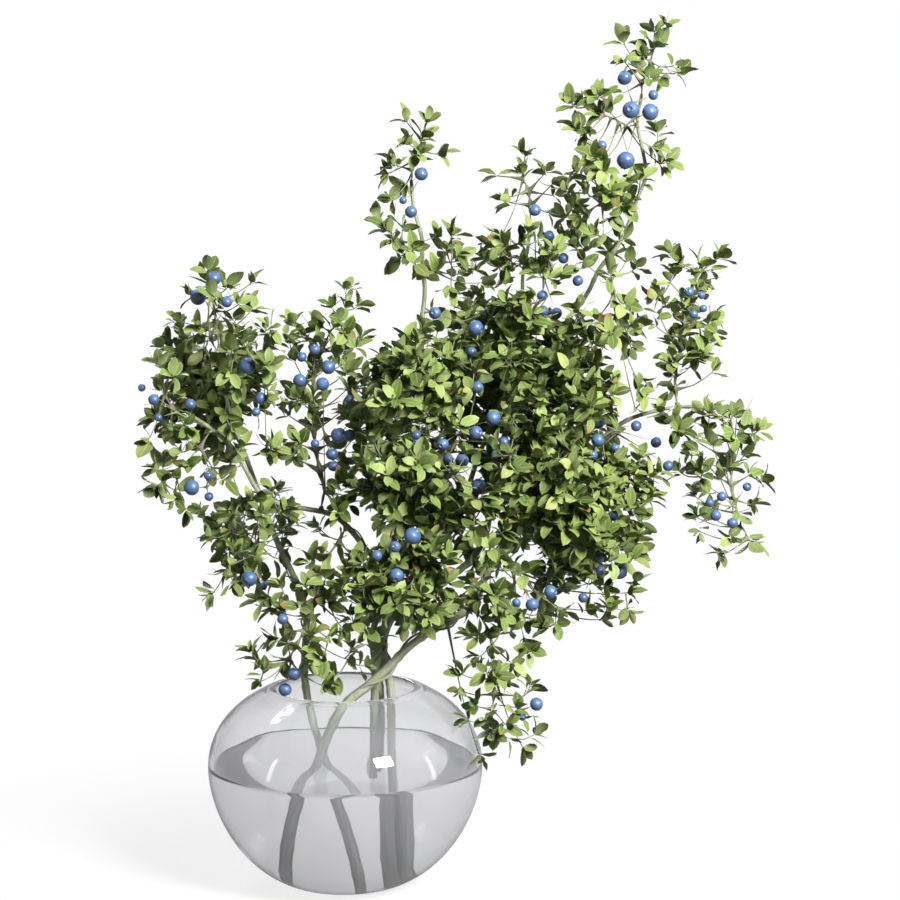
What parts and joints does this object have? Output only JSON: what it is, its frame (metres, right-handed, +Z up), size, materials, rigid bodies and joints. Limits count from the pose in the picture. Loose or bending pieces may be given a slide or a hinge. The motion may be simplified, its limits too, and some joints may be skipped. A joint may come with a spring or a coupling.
{
  "type": "blueberry branches in a glass vase",
  "caption": "Cut leafy fruiting blueberry branches standing in a round clear glass vase half full of water, as a tabletop arrangement.",
  "frame": {"origin": "middle of the vase's flat underside, on the surface it stands on", "axes": "+Z up, +X to the right and -Y towards the front, the side that the arrangement faces"},
  "size_m": [0.5693, 0.2587, 0.7883],
  "materials": {
    "glass": "polished",
    "water": "gloss",
    "bark": "matte",
    "leaf": "satin",
    "berry": "satin"
  },
  "bodies": {
    "root": {"stem_left_rear": "bark", "stem_right_reaching": "bark", "stem_left_arching": "bark", "stem_centre_tall": "bark", "stem_right_tall": "bark", "stem_centre_right": "bark", "glass_vase": "glass", "water": "water", "truss_left_crown": "berry", "truss_left_shoulder": "berry", "truss_left_outer": "berry", "truss_left_low": "berry", "truss_left_hanging": "berry", "truss_low_left": "berry", "truss_middle_left": "berry", "truss_centre_low": "berry", "truss_right_hanging": "berry", "truss_front_trailing": "berry", "truss_centre_crown": "berry", "truss_centre_upper": "berry", "truss_right_centre": "berry", "truss_centre_mass": "berry", "truss_right_mass": "berry", "truss_right_low": "berry", "truss_far_right_upright": "berry", "truss_far_right_drooping": "berry", "truss_right_crown": "berry", "shoot_left_crown": "leaf", "shoot_left_shoulder": "leaf", "shoot_left_outer": "leaf", "shoot_left_low_outer": "leaf", "shoot_left_back": "leaf", "shoot_left_front_low": "leaf", "shoot_left_low_back": "leaf", "shoot_middle_left": "leaf", "shoot_low_left": "leaf", "shoot_centre_front_low": "leaf", "shoot_centre_front": "leaf", "shoot_centre_front_high": "leaf", "shoot_centre_back": "leaf", "shoot_centre_upper_back": "leaf", "shoot_centre_crown": "leaf", "shoot_centre_upper_left": "leaf", "shoot_centre_upper_right": "leaf", "shoot_right_centre_crown": "leaf", "shoot_right_centre_upper": "leaf", "shoot_right_centre_front": "leaf", "shoot_right_centre_back": "leaf", "shoot_right_crown": "leaf", "shoot_right_upper": "leaf", "shoot_right_middle": "leaf", "shoot_right_middle_low": "leaf", "shoot_right_mass_high": "leaf", "shoot_right_mass_front": "leaf", "shoot_right_mass_low": "leaf", "shoot_right_hanging": "leaf", "shoot_right_mass_back": "leaf", "shoot_far_right_upright": "leaf", "shoot_far_right_drooping": "leaf", "shoot_front_trailing": "leaf"}
  },
  "joints": []
}
